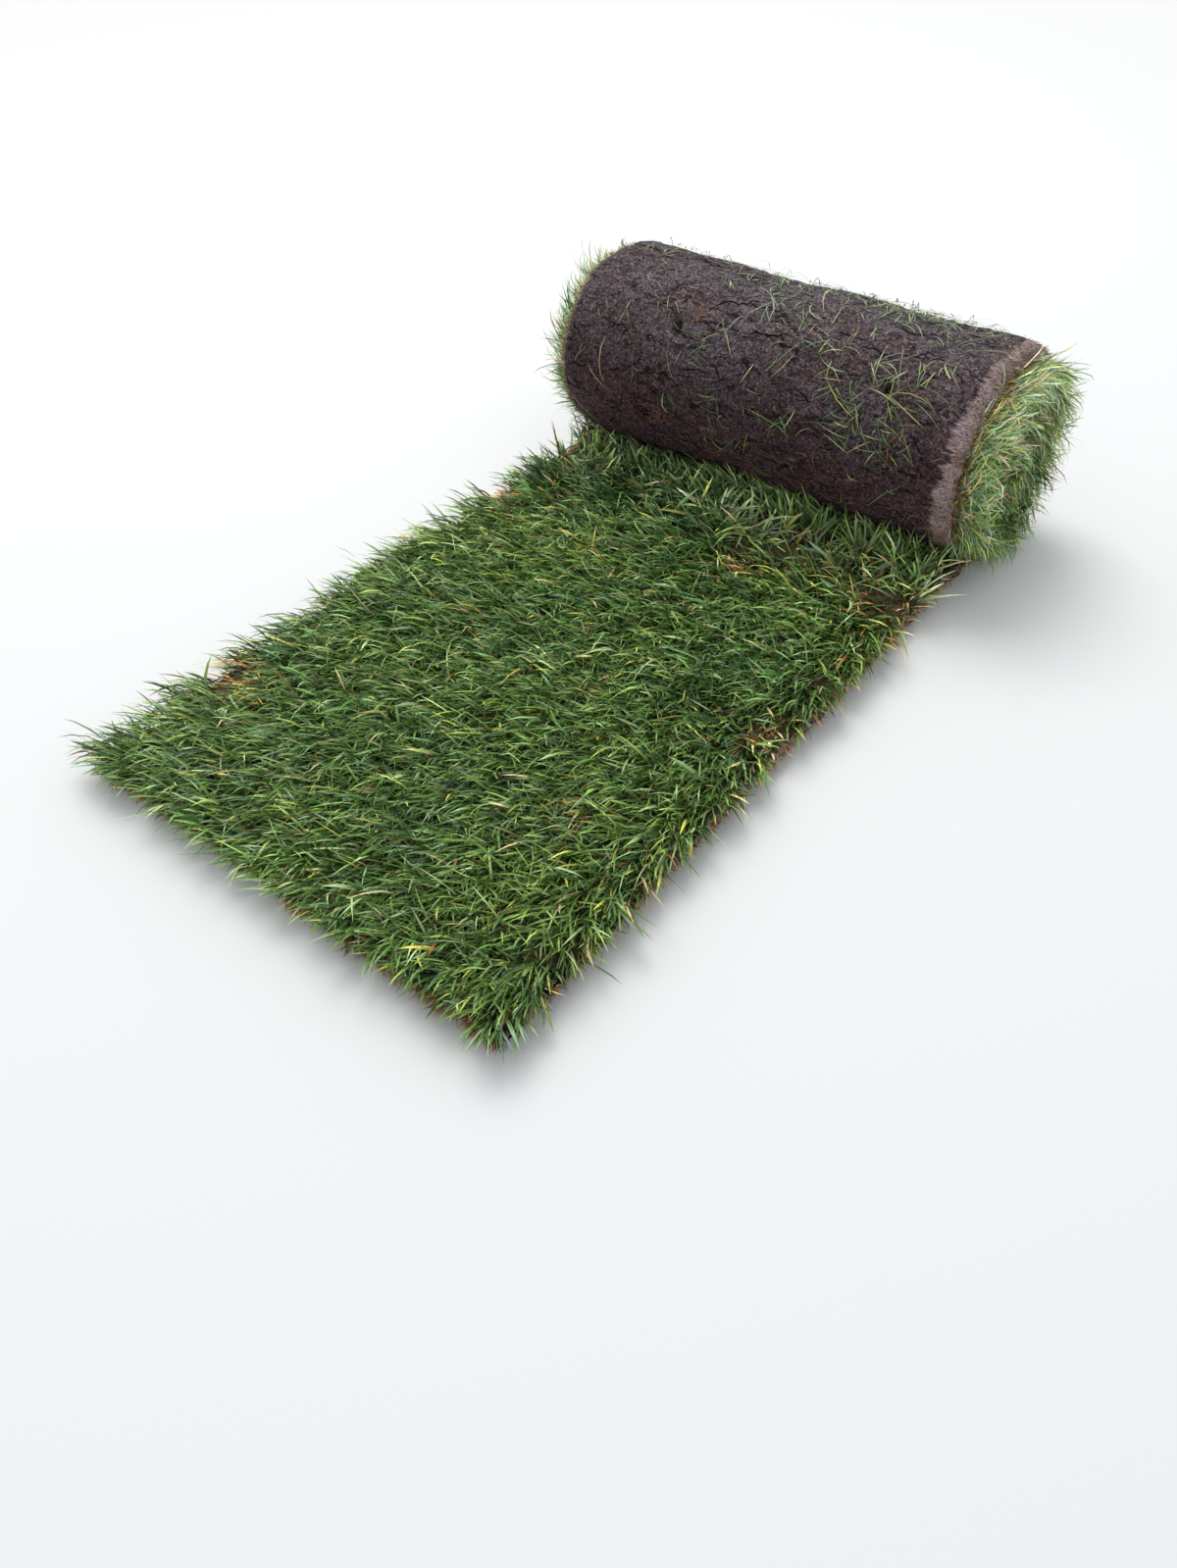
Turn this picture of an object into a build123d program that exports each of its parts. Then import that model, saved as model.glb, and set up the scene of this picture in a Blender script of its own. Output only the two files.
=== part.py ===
"""Roll of turf: a cut strip of soil with its grass, rolled up grass side in, free end run out flat.

Millimetres. X is the roll's axis, -Y is where the free end points, +Z is up.
The strip is drawn from the side, as tangent half circles and flat runs, and extruded along X.
"""
from build123d import *
from math import acos, degrees
import os

strip_width = 400
soil_thickness = 14
pressed_grass = 6.5      # grass pressed flat between two turns
tip_clearance = 0.3      # the pressed blades end this far from the next turn
roll_height = 190
core_radius = 2.5        # the tightest that the grass face bends, at the core
settled_run = 14         # flat run under and over the roll, where the soft soil has settled
free_end_length = 640    # from the middle of the roll's underside to the cut end
telescope = 11           # the middle of the roll stands this far out at +X and in at -X
end_tuft = 12            # grass that stands out of the roll's ends between the turns

standing_grass = 17      # height of the sward on the free end, combed down
end_overhang = 32        # combed blades that reach past the cut end
nose_length = 56         # over this length the sward thins out to the overhang
side_spread = 18         # blades of the free end that lean out over its sides
spread_rise = 8          # they reach furthest out this high above the soil
lean_height = 9          # the blades climb this much higher where they lean on the roll
lean_length = 70         # over this length they rise to it

half_width = strip_width / 2
half_run = settled_run / 2
turn_pitch = soil_thickness + pressed_grass
half_turns = int((roll_height / 2 - turn_pitch - core_radius) / (turn_pitch / 2)) + 1


def strip_line(inset, start):
    """The strip's side view from y = start to its inner end, inset from the outer soil face."""
    edges = []
    y = start
    z = 0
    for turn in range(half_turns):
        side = 1 if turn % 2 == 0 else -1
        radius = roll_height / 2 - turn * turn_pitch / 2
        face_z = z + side * inset
        edges.append(Line((y, face_z), (side * half_run, face_z)))
        edges.append(CenterArc((side * half_run, z + side * radius), radius - inset, -90 * side, 180))
        y = side * half_run
        z += side * 2 * radius
    return edges


def strip_face(inset, thickness, start):
    """A layer of the strip, as a flat face in side view."""
    outer = strip_line(inset, start)
    inner = strip_line(inset + thickness, start)
    cut_end = Line(outer[0] @ 0, inner[0] @ 0)
    core_end = Line(outer[-1] @ 1, inner[-1] @ 1)
    return make_face(outer + inner + [cut_end, core_end])


def along_roll(face, reach):
    """Extrude a side view both ways along X."""
    return extrude(Plane.YZ * face, reach, both=True)


def telescoped(solid, longer):
    """Trim the ends, flat on the outer turn and free end, and coned along +X towards the middle."""
    end = half_width + longer
    flat_from = roll_height / 2 - soil_thickness
    beyond_all = 2 * (free_end_length + roll_height)
    outline = Polyline(
        (-end, beyond_all),
        (-end, flat_from),
        (-end + telescope, 0),
        (end + telescope, 0),
        (end, flat_from),
        (end, beyond_all),
        close=True,
    )
    turned = revolve(Plane.XZ * make_face(outline), Axis.X)
    return solid & Pos(0, 0, roll_height / 2) * turned


def soil_mat():
    """The cut soil: one strip, from the free end's cut edge to the core."""
    mat = along_roll(strip_face(0, soil_thickness, -free_end_length), half_width + telescope)
    return telescoped(mat, 0)


def pressed_sward():
    """The grass between the turns, from the underside of the roll inwards."""
    face = strip_face(soil_thickness, pressed_grass - tip_clearance, -half_run)
    return telescoped(along_roll(face, half_width + telescope + end_tuft), end_tuft)


def free_sward_side():
    """Side view of the grass on the free end, from the nose at the cut end up to the roll."""
    top = soil_thickness + standing_grass
    nose_z = soil_thickness / 3
    nose_tip = -free_end_length - end_overhang
    nose_centre = (nose_tip + nose_length, nose_z)
    nose = EllipticalCenterArc(nose_centre, nose_length, top - nose_z, start_angle=90, arc_size=90)

    roll_front_radius = roll_height / 2 - turn_pitch / 2
    centre_z = turn_pitch + roll_front_radius
    lean_angle = degrees(acos((centre_z - top - lean_height) / roll_front_radius))
    roll_face = CenterArc((-half_run, centre_z), roll_front_radius + tip_clearance, 270, -lean_angle)
    lean_start = ((roll_face @ 1).X - lean_length, top)
    lean = TangentArc(lean_start, roll_face @ 1, tangent=(1, 0))

    roots = Polyline(
        roll_face @ 0,
        (-half_run, soil_thickness),
        (-free_end_length, soil_thickness),
        (nose_tip, nose_z),
    )
    flat_top = Line((nose_tip + nose_length, top), lean_start)
    return make_face([nose, flat_top, lean, roll_face] + roots.edges())


def free_sward_end():
    """End view of the same grass: roots as wide as the soil, blades spread over both sides."""
    wide = half_width + side_spread
    low = soil_thickness + spread_rise
    high = soil_thickness + standing_grass + lean_height + side_spread
    half = Polyline(
        (0, 0),
        (half_width, 0),
        (half_width, soil_thickness),
        (wide, low),
        (wide, low + spread_rise),
        (half_width - side_spread, high),
        (0, high),
        close=True,
    )
    right = make_face(half)
    return right + mirror(right, Plane.YZ)


def free_sward():
    """The grass on the free end."""
    spread = extrude(Plane.XZ * free_sward_end(), 2 * free_end_length, both=True)
    return along_roll(free_sward_side(), half_width + side_spread) & spread


soil = soil_mat()
grass = pressed_sward() + free_sward()
box = Compound([soil, grass]).bounding_box()
to_origin = Pos(-box.center().X, -box.center().Y, -box.min.Z)

os.makedirs("parts", exist_ok=True)
export_step(to_origin * soil, "parts/soil_mat.step")
export_step(to_origin * grass, "parts/grass_sward.step")
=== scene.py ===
import math
import bmesh
import bpy
import numpy as np
from mathutils import Matrix, Vector
from mathutils.bvhtree import BVHTree


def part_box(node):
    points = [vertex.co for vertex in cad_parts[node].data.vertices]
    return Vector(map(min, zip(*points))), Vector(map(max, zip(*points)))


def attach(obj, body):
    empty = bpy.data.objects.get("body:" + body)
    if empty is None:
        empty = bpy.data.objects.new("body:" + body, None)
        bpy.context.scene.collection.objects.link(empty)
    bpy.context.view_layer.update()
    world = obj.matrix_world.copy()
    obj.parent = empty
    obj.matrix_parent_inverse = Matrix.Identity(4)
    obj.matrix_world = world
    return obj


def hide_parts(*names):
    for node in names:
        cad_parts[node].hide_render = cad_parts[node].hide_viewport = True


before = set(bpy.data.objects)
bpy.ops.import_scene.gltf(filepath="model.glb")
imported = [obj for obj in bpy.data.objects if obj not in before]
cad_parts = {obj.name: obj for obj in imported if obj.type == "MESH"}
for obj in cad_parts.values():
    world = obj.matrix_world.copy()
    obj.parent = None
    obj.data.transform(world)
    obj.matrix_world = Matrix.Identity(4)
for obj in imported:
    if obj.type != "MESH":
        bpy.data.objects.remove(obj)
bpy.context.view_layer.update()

soil_low, soil_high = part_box("soil_mat")

# Sizes of the strip
STRIP_WIDTH = 0.400
SOIL = 0.014
PRESSED_GRASS = 0.0065   # grass pressed flat between two turns
SETTLED_RUN = 0.014      # flat run under and over the roll, where the soft soil has settled
FREE_END = 0.640         # from the middle of the roll's underside to the cut end
CORE_RADIUS = 0.0025
TELESCOPE = 0.011        # the middle of the roll stands this far out at +X and in at -X
ROLL_HEIGHT = soil_high.z - soil_low.z

PITCH = SOIL + PRESSED_GRASS
HALF_WIDTH = STRIP_WIDTH / 2
MIDDLE_X = soil_low.x + HALF_WIDTH
MIDDLE_Y = soil_low.y + FREE_END
CUT_END_Y = soil_low.y

RELIEF_GAIN = 1.6        # brings the noise up to about -1 to 1

rng = np.random.default_rng(20)


class Relief:
    """Smooth seeded noise on an array of points, about -1 to 1."""

    def __init__(self, seed):
        draw = np.random.default_rng(seed)
        self.order = np.tile(draw.permutation(256), 3)
        way = draw.normal(size=(256, 3))
        self.ways = way / np.linalg.norm(way, axis=1)[:, None]

    def at(self, points, size):
        """One layer of noise, with lumps of this size."""
        scaled = np.asarray(points, float) / size
        cell = np.floor(scaled).astype(int)
        inside = scaled - cell
        ease = inside**3 * (inside * (inside * 6 - 15) + 10)
        total = np.zeros(len(scaled))
        for corner in np.ndindex(2, 2, 2):
            which = (cell + corner) & 255
            key = self.order[self.order[self.order[which[:, 0]] + which[:, 1]] + which[:, 2]]
            dot = np.einsum("ij,ij->i", self.ways[key], inside - corner)
            total += dot * np.prod(np.where(np.array(corner) == 1, ease, 1 - ease), axis=1)
        return total * RELIEF_GAIN

    def rough(self, points, size, octaves=3):
        """Layers of noise, each half as large and half as high as the one before."""
        return sum(self.at(points, size / 2**octave) / 2**octave for octave in range(octaves))


def unit(ways):
    """The same ways, each of length one."""
    return ways / np.maximum(np.linalg.norm(ways, axis=-1, keepdims=True), 1e-9)


def in_space(ways):
    """Ways in Y and Z, with nothing along X."""
    return np.column_stack([np.zeros(len(ways)), ways])


def step(values, low, high):
    """A smooth step from 0 at low to 1 at high."""
    share = np.clip((values - low) / (high - low), 0, 1)
    return share * share * (3 - 2 * share)


def about(count, middle, spread, least, most):
    """Sizes around a middle one, as many larger as smaller, between the least and the most."""
    return np.exp(rng.normal(math.log(middle), spread, count)).clip(least, most)


# The strip's spiral

def half_turns():
    """Side, centre and outer radius of each half circle of the strip, from the free end inwards."""
    turns = []
    count = int((ROLL_HEIGHT / 2 - PITCH - CORE_RADIUS) / (PITCH / 2)) + 1
    z = 0
    for turn in range(count):
        side = 1 if turn % 2 == 0 else -1
        radius = ROLL_HEIGHT / 2 - turn * PITCH / 2
        turns.append((side, MIDDLE_Y + side * SETTLED_RUN / 2, z + side * radius, radius))
        z += side * 2 * radius
    return turns


TURNS = half_turns()
TURN_LENGTHS = [SETTLED_RUN + math.pi * radius for side, y, z, radius in TURNS]
ROLLED_LENGTH = sum(TURN_LENGTHS)
OUTER_TURN = TURN_LENGTHS[0] + TURN_LENGTHS[1]
FRONT_Y, FRONT_Z, FRONT_RADIUS = TURNS[1][1:]


def on_strip(along, inset):
    """Place, way along and way inwards, in Y and Z, this far along the strip and in from its soil face.

    The distance starts at the front of the flat run under the roll. Below 0 it is on the free end.
    """
    along = np.asarray(along, float)
    inset = np.broadcast_to(inset, along.shape)
    place = np.zeros(along.shape + (2,))
    forward = np.zeros(along.shape + (2,))
    inward = np.zeros(along.shape + (2,))
    start = 0
    for (side, centre_y, centre_z, radius), length in zip(TURNS, TURN_LENGTHS):
        here = ((along >= start) | (start == 0)) & (along < start + length)
        run = along[here] - start
        angle = -math.pi / 2 * side + np.maximum(run - SETTLED_RUN, 0) / radius
        outward = np.stack([np.cos(angle), np.sin(angle)], 1)
        spot = np.array([centre_y, centre_z]) + outward * (radius - inset[here])[:, None]
        spot[:, 0] += np.where(run < SETTLED_RUN, side * (run - SETTLED_RUN), 0)
        place[here] = spot
        inward[here] = -outward
        forward[here] = np.stack([-outward[:, 1], outward[:, 0]], 1)
        start += length
    return place, forward, inward


def round_front(degrees):
    """Distance along the strip at an angle up the roll's front: 0 is its front, 90 its top."""
    from_top = np.radians(90 - np.asarray(degrees, float))
    on_front = SETTLED_RUN + from_top * FRONT_RADIUS
    on_back = from_top * ROLL_HEIGHT / 2
    return TURN_LENGTHS[0] + np.where(from_top > 0, on_front, on_back)


FACE_SLACK = 0.002       # a point this far outside a turn still counts as on its soil face


def in_roll(corners):
    """How deep points lie in their turn's soil and grass, and their way inwards."""
    back = corners[:, 1] > MIDDLE_Y
    side, back_y, back_z, back_radius = TURNS[0]
    radius = np.where(back, back_radius, FRONT_RADIUS)
    off_y = corners[:, 1] - np.where(back, back_y, FRONT_Y)
    aside = np.where(back, np.maximum(off_y, 0), np.minimum(off_y, 0))
    above = corners[:, 2] - np.where(back, back_z, FRONT_Z)
    reach = np.hypot(aside, above)
    inset = (radius - reach + FACE_SLACK) % PITCH - FACE_SLACK
    inward = -in_space(np.stack([aside, above], 1)) / np.maximum(reach, 1e-6)[:, None]
    return inset, inward


def telescoped(x, y, z):
    """Push the roll's inner turns along X, as the real ones have slid."""
    from_middle = np.hypot(y - MIDDLE_Y, z - ROLL_HEIGHT / 2)
    return x + TELESCOPE * np.clip(1 - from_middle / (ROLL_HEIGHT / 2 - SOIL), 0, 1)


# Meshes from operators

RIM = 0.4                # the rim of a unit plane lies further out than this
SOIL_NODE = ("soil_mat", "soil")   # a CAD node that pieces stand for, and its material slot
GRASS_NODE = ("grass_sward", "grass")


def deselect_all():
    for thing in bpy.context.selected_objects:
        thing.select_set(False)


def select_edges(mesh, wanted):
    """In edit mode, select only the edges whose middle answers to wanted."""
    work = bmesh.from_edit_mesh(mesh)
    for part in (*work.faces, *work.edges, *work.verts):
        part.select_set(False)
    for edge in work.edges:
        if wanted((edge.verts[0].co + edge.verts[1].co) / 2):
            edge.select_set(True)
    bmesh.update_edit_mesh(mesh)


def strip_section(name, y, z_outer, z_inner, outer_cuts, inner_cuts, side_cuts):
    """A strip's section as a ring of edges that stands across the strip, left open in edit mode."""
    deselect_all()
    bpy.ops.mesh.primitive_plane_add(size=1, location=(0, 0, 0))
    piece = bpy.context.object
    piece.name = piece.data.name = name
    bpy.ops.object.mode_set(mode="EDIT")
    bpy.ops.mesh.select_mode(type="EDGE")
    bpy.ops.mesh.delete(type="ONLY_FACE")
    select_edges(piece.data, lambda middle: middle.y < -RIM)
    bpy.ops.mesh.subdivide(number_cuts=outer_cuts)
    select_edges(piece.data, lambda middle: middle.y > RIM)
    bpy.ops.mesh.subdivide(number_cuts=inner_cuts)
    if side_cuts:
        select_edges(piece.data, lambda middle: abs(middle.x) > RIM and abs(middle.y) < RIM)
        bpy.ops.mesh.subdivide(number_cuts=side_cuts)
    for corner in bmesh.from_edit_mesh(piece.data).verts:
        up = corner.co.y + 0.5
        corner.co = (MIDDLE_X + corner.co.x * STRIP_WIDTH, y, z_outer + up * (z_inner - z_outer))
    bmesh.update_edit_mesh(piece.data)
    bpy.ops.mesh.select_all(action="SELECT")
    return piece


def close_strip(piece, finer):
    """Cap a swept strip's ends, turn its faces outwards and divide them finer."""
    bpy.ops.mesh.select_all(action="DESELECT")
    bpy.ops.mesh.select_non_manifold(extend=False, use_wire=False, use_boundary=True,
                                     use_multi_face=False, use_non_contiguous=False, use_verts=False)
    bpy.ops.mesh.fill()
    bpy.ops.mesh.select_all(action="SELECT")
    bpy.ops.mesh.normals_make_consistent(inside=False)
    bpy.ops.object.mode_set(mode="OBJECT")
    bpy.ops.object.modifier_add(type="SUBSURF")
    grid = piece.modifiers[-1]
    grid.subdivision_type = "SIMPLE"
    grid.levels = grid.render_levels = finer
    bpy.ops.object.modifier_apply(modifier=grid.name)


def swept_turns(name, inset, thickness, first, last, cuts, arc_step, finer):
    """A layer of the rolled strip, spun half turn by half turn."""
    side, centre_y, centre_z, radius = TURNS[first]
    face_z = centre_z - side * radius
    piece = strip_section(name, centre_y - side * SETTLED_RUN, face_z + side * inset,
                          face_z + side * (inset + thickness), *cuts)
    for side, centre_y, centre_z, radius in TURNS[first:last + 1]:
        bpy.ops.mesh.extrude_repeat(steps=1, offset=(0, side * SETTLED_RUN, 0))
        bpy.ops.mesh.spin(steps=round(math.pi * radius / arc_step), angle=-math.pi,
                          center=(0, centre_y, centre_z), axis=(1, 0, 0))
    close_strip(piece, finer)
    return piece


def corners_of(piece):
    corners = np.empty(len(piece.data.vertices) * 3)
    piece.data.vertices.foreach_get("co", corners)
    return corners.reshape(-1, 3)


def move_corners(piece, corners):
    piece.data.vertices.foreach_set("co", corners.ravel())
    piece.data.update()


def paint(piece, name, values):
    """Keep a mask on the corners of a piece, for its material."""
    piece.data.attributes.new(name, "FLOAT", "POINT").data.foreach_set("value", values)


def finish_piece(piece, material, node_and_slot):
    """Dress a piece in its material, attach it to the root body and hide the CAD node that it stands for."""
    node, slot = node_and_slot
    piece.data.materials.clear()
    piece.data.materials.append(material)
    piece.data.polygons.foreach_set("use_smooth", [True] * len(piece.data.polygons))
    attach(piece, "root")
    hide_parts(node)


# Materials

WHITE = (1, 1, 1)
BLACK = (0, 0, 0)


def new_material(name, roughness, specular):
    material = bpy.data.materials.new(name)
    material.use_nodes = True
    shader = material.node_tree.nodes["Principled BSDF"]
    shader.inputs["Roughness"].default_value = roughness
    shader.inputs["Specular IOR Level"].default_value = specular
    return material, material.node_tree, shader


def connect(tree, value, socket):
    """Link a socket, or set a plain value or colour."""
    if isinstance(value, bpy.types.NodeSocket):
        tree.links.new(value, socket)
    elif socket.type == "RGBA":
        socket.default_value = (*value, 1)
    else:
        socket.default_value = value


def ramp(tree, source, low, high, low_colour=BLACK, high_colour=WHITE):
    """One colour up to low and another from high, blended between."""
    node = tree.nodes.new("ShaderNodeValToRGB")
    for element, position, colour in zip(node.color_ramp.elements, (low, high), (low_colour, high_colour)):
        element.position = position
        element.color = (*colour, 1)
    tree.links.new(source, node.inputs["Fac"])
    return node.outputs["Color"]


def mixed(tree, share, first, second, blend="MIX"):
    node = tree.nodes.new("ShaderNodeMix")
    node.data_type = "RGBA"
    node.blend_type = blend
    for socket, value in zip((node.inputs[0], node.inputs[6], node.inputs[7]), (share, first, second)):
        connect(tree, value, socket)
    return node.outputs[2]


def tinted(tree, colour, tint):
    return mixed(tree, 1.0, colour, tint, "MULTIPLY")


def maths(tree, operation, first, second=0.0):
    node = tree.nodes.new("ShaderNodeMath")
    node.operation = operation
    connect(tree, first, node.inputs[0])
    connect(tree, second, node.inputs[1])
    return node.outputs[0]


def object_place(tree, stretch=(1, 1, 1)):
    """Object coordinates; a pattern on them is drawn out along an axis whose stretch is below 1."""
    where = tree.nodes.new("ShaderNodeTexCoord").outputs["Object"]
    mapping = tree.nodes.new("ShaderNodeMapping")
    mapping.inputs["Scale"].default_value = stretch
    tree.links.new(where, mapping.inputs["Vector"])
    return mapping.outputs["Vector"]


def noise(tree, place, scale, detail=4.0, roughness=0.6, distortion=0.0):
    node = tree.nodes.new("ShaderNodeTexNoise")
    settings = {"Vector": place, "Scale": scale, "Detail": detail, "Roughness": roughness,
                "Distortion": distortion}
    for name, value in settings.items():
        connect(tree, value, node.inputs[name])
    return node.outputs["Fac"]


def wobbled(tree, place, scale, amount):
    """The same place, shifted a little by noise, so that a pattern on it is uneven."""
    shift = tree.nodes.new("ShaderNodeTexNoise")
    shift.inputs["Scale"].default_value = scale
    tree.links.new(place, shift.inputs["Vector"])
    moved = tree.nodes.new("ShaderNodeVectorMath")
    moved.operation = "MULTIPLY_ADD"
    tree.links.new(shift.outputs["Color"], moved.inputs[0])
    moved.inputs[1].default_value = (amount, amount, amount)
    tree.links.new(place, moved.inputs[2])
    return moved.outputs["Vector"]


def grains(tree, place, scale):
    """Packed grains: how far from a grain's middle, and each grain's own shade."""
    node = tree.nodes.new("ShaderNodeTexVoronoi")
    node.inputs["Scale"].default_value = scale
    tree.links.new(place, node.inputs["Vector"])
    return node.outputs["Distance"], node.outputs["Color"]


def bump(tree, height, distance, strength, under=None):
    node = tree.nodes.new("ShaderNodeBump")
    node.inputs["Strength"].default_value = strength
    node.inputs["Distance"].default_value = distance
    tree.links.new(height, node.inputs["Height"])
    if under:
        tree.links.new(under, node.inputs["Normal"])
    return node.outputs["Normal"]


def painted(tree, name):
    """What is painted on the corners of a piece under this name."""
    node = tree.nodes.new("ShaderNodeAttribute")
    node.attribute_name = name
    return node.outputs


def mottle_group():
    """Noise that mottles a colour between two tints, for soil, thatch and blades. Its grain comes out too."""
    group = bpy.data.node_groups.new("mottle", "ShaderNodeTree")
    for name, kind in (
        ("Colour", "Color"), ("Place", "Vector"), ("Scale", "Float"), ("Detail", "Float"),
        ("Roughness", "Float"), ("Low", "Float"), ("High", "Float"), ("Low tint", "Color"),
        ("High tint", "Color"),
    ):
        group.interface.new_socket(name, in_out="INPUT", socket_type="NodeSocket" + kind)
    for name, kind in (("Colour", "Color"), ("Grain", "Float")):
        group.interface.new_socket(name, in_out="OUTPUT", socket_type="NodeSocket" + kind)
    given = group.nodes.new("NodeGroupInput").outputs
    results = group.nodes.new("NodeGroupOutput").inputs
    grain = noise(group, given["Place"], given["Scale"], given["Detail"], given["Roughness"])
    share = group.nodes.new("ShaderNodeMapRange")
    for name, value in (("Value", grain), ("From Min", given["Low"]), ("From Max", given["High"])):
        connect(group, value, share.inputs[name])
    tint = mixed(group, share.outputs["Result"], given["Low tint"], given["High tint"])
    connect(group, tinted(group, given["Colour"], tint), results["Colour"])
    connect(group, grain, results["Grain"])
    return group


MOTTLE = mottle_group()


def mottled(tree, colour, place, grain, span, low_tint, high_tint):
    """The mottled colour and its grain. Grain gives scale, detail and roughness, span where the tints are."""
    node = tree.nodes.new("ShaderNodeGroup")
    node.node_tree = MOTTLE
    for socket, value in zip(node.inputs, (colour, place, *grain, *span, low_tint, high_tint)):
        connect(tree, value, socket)
    return node.outputs["Colour"], node.outputs["Grain"]


def crack_lines(tree, scale, stretch, width, missing):
    """Wavy cracks that mostly run along X: the level line of stretched noise, broken off by other noise."""
    level = noise(tree, object_place(tree, (stretch, 1, 1)), scale, 4.0, 0.55, 0.25)
    away = maths(tree, "ABSOLUTE", maths(tree, "SUBTRACT", level, 0.5))
    lines = ramp(tree, away, width * 0.35, width, WHITE, BLACK)
    breaks = noise(tree, object_place(tree, (0.5, 1, 1)), scale * 1.4, 3.0, 0.65)
    return maths(tree, "MULTIPLY", lines, ramp(tree, breaks, missing, missing + 0.06))


# Colours of the soil, with the painted shade of its creases, its cracks and their slivers
DARK_CRUMB = (0.019, 0.0105, 0.0125)
LIGHT_CRUMB = (0.141, 0.093, 0.111)
PALE_SPECK = (0.27, 0.215, 0.205)
CREASE_PAINTED_SHADE = (0.007, 0.005, 0.005)
CRACK_PAINTED_SHADE = (0.004, 0.003, 0.003)
CRACK_SLIVER_SHADE = (0.006, 0.0045, 0.0045)
DARK_FIBRE = (0.12, 0.072, 0.080)
PALE_FIBRE = (0.58, 0.43, 0.45)

# Tints of the soil: painted shade between its crumbs, a drier tone with painted light on its top, and painted
# light with a redder tone low down
PAINTED_GAP_SHADE = (0.34, 0.32, 0.32)
DRY_AND_LIT_TOP_TINT = (1.66, 2.10, 1.90)
LOW_LIT_AND_RED_TINT = (1.50, 1.24, 1.24)


def soil_material():
    """Moist peaty soil: packed dark crumbs with painted shade between them, short cracks in painted shade
    along the roll, a drier top and a redder foot, both painted lighter, and fibrous edges.
    """
    material, tree, shader = new_material("moist_soil", 0.92, 0.22)
    place = object_place(tree)
    uneven = wobbled(tree, place, 420, 0.0020)
    crumb_gap, crumb_shade = grains(tree, uneven, 430)
    grit_gap, grit_shade = grains(tree, uneven, 950)

    grit_part = maths(tree, "MULTIPLY", grit_shade, 0.55)
    shade = maths(tree, "ADD", maths(tree, "MULTIPLY", crumb_shade, 0.45), grit_part)
    colour = ramp(tree, shade, 0.22, 0.80, DARK_CRUMB, LIGHT_CRUMB)
    # Painted shade in the gaps between crumbs and grit
    gap = maths(tree, "MAXIMUM", crumb_gap, maths(tree, "MULTIPLY", grit_gap, 0.9))
    colour = tinted(tree, colour, ramp(tree, gap, 0.42, 0.86, WHITE, PAINTED_GAP_SHADE))
    colour, clods = mottled(tree, colour, place, (95, 5.0, 0.7), (0.36, 0.64),
                            (0.87, 0.85, 0.86), (1.12, 1.12, 1.12))
    colour, patches = mottled(tree, colour, place, (15, 3.0, 0.6), (0.35, 0.66),
                              (0.98, 0.84, 0.80), (1.04, 1.06, 1.10))
    specks = maths(tree, "MULTIPLY", ramp(tree, grit_shade, 0.80, 0.90), ramp(tree, crumb_shade, 0.45, 0.70))
    colour = mixed(tree, maths(tree, "MULTIPLY", specks, 0.50), colour, PALE_SPECK)

    axes = tree.nodes.new("ShaderNodeSeparateXYZ")
    tree.links.new(place, axes.inputs[0])
    height = axes.outputs["Z"]
    # A drier tone with painted light, lighter towards the top of the roll
    uneven_height = maths(tree, "ADD", height, maths(tree, "MULTIPLY", patches, 0.05))
    colour = tinted(tree, colour, ramp(tree, uneven_height, 0.14, 0.215, WHITE, DRY_AND_LIT_TOP_TINT))
    # Painted light with a redder tone: the soil is lighter low down
    colour = tinted(tree, colour, ramp(tree, height, 0.05, 0.13, LOW_LIT_AND_RED_TINT, WHITE))

    cracks = crack_lines(tree, 48, 0.30, 0.016, 0.48)
    creases = crack_lines(tree, 105, 0.34, 0.026, 0.46)
    # Painted shade in the creases and cracks
    colour = mixed(tree, maths(tree, "MULTIPLY", creases, 0.7), colour, CREASE_PAINTED_SHADE)
    colour = mixed(tree, cracks, colour, CRACK_PAINTED_SHADE)

    fibrous, _ = mottled(tree, WHITE, object_place(tree, (0.13, 1, 1)), (950, 3.0, 0.7), (0.34, 0.66),
                         DARK_FIBRE, PALE_FIBRE)
    locks = noise(tree, object_place(tree, (0.14, 1, 1)), 330, 3.0, 0.65)
    dry = maths(tree, "ADD", painted(tree, "dry_edge")["Fac"], maths(tree, "MULTIPLY", locks, 0.9))
    colour = mixed(tree, ramp(tree, dry, 0.78, 1.04), colour, fibrous)
    tree.links.new(colour, shader.inputs["Base Color"])

    flakes = noise(tree, object_place(tree, (0.35, 1, 1)), 75, 4.0, 0.6)
    deepest = maths(tree, "MAXIMUM", cracks, maths(tree, "MULTIPLY", creases, 0.5))
    normal = None
    for relief, distance, strength in (
        (flakes, 0.0030, 0.35),
        (clods, 0.0020, 0.35),
        (maths(tree, "SUBTRACT", 1.0, crumb_gap), 0.0012, 0.75),
        (maths(tree, "SUBTRACT", 1.0, grit_gap), 0.0006, 0.6),
        (maths(tree, "SUBTRACT", 1.0, deepest), 0.0012, 0.9),
    ):
        normal = bump(tree, relief, distance, strength, normal)
    tree.links.new(normal, shader.inputs["Normal"])
    return material


def crack_material():
    """The shade down in a crack: near black and dull."""
    material, tree, shader = new_material("crack_shade", 1.0, 0.0)
    connect(tree, CRACK_SLIVER_SHADE, shader.inputs["Base Color"])
    return material


def blade_material():
    """Grass whose colour is carried by each blade, with fine streaks and a waxy sheen."""
    material, tree, shader = new_material("grass_blades", 0.34, 0.55)
    colour, _ = mottled(tree, painted(tree, "blade_colour")["Color"], object_place(tree),
                        (330, 2.0, 0.6), (0.30, 0.70), (0.78, 0.80, 0.76), (1.18, 1.16, 1.14))
    tree.links.new(colour, shader.inputs["Base Color"])
    return material


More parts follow.
